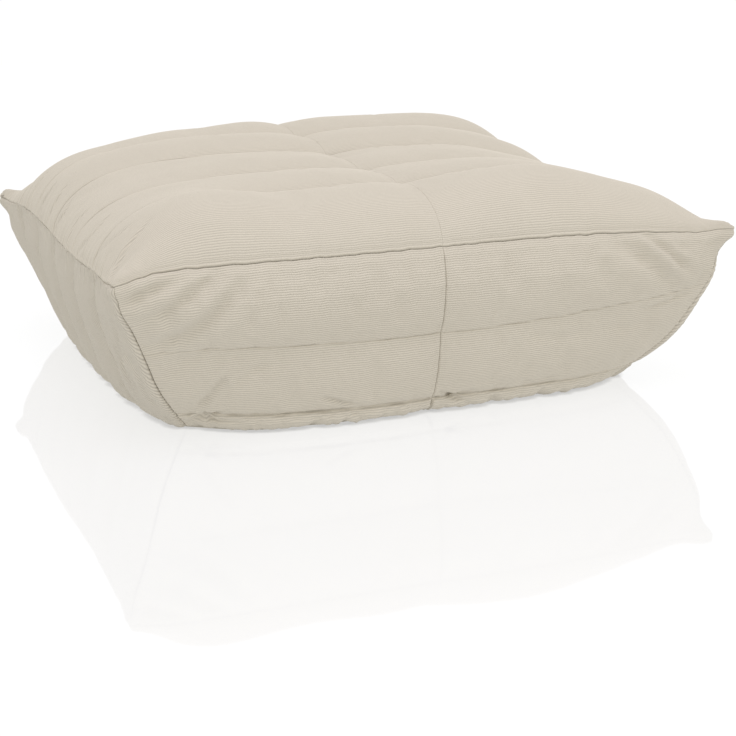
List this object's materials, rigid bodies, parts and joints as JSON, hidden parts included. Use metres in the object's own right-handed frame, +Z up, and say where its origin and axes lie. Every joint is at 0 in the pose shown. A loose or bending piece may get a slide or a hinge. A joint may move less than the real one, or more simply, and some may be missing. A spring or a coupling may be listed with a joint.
{
  "type": "bean bag footstool",
  "caption": "Low square bean bag footstool: one filled, quilted cushion in ribbed fabric with a crowned top, drawn-out corners and sides tapering to a smaller base.",
  "frame": {"origin": "centre of the flat base, on the surface it stands on", "axes": "+Z up, +X to the right and -Y to the front, where the front is a side with level quilting lines"},
  "size_m": [0.812, 0.812, 0.3207],
  "materials": {
    "ribbed_fabric": "sand-coloured fine-ribbed corduroy, matt"
  },
  "bodies": {
    "root": {"cushion": "ribbed_fabric"}
  },
  "joints": []
}
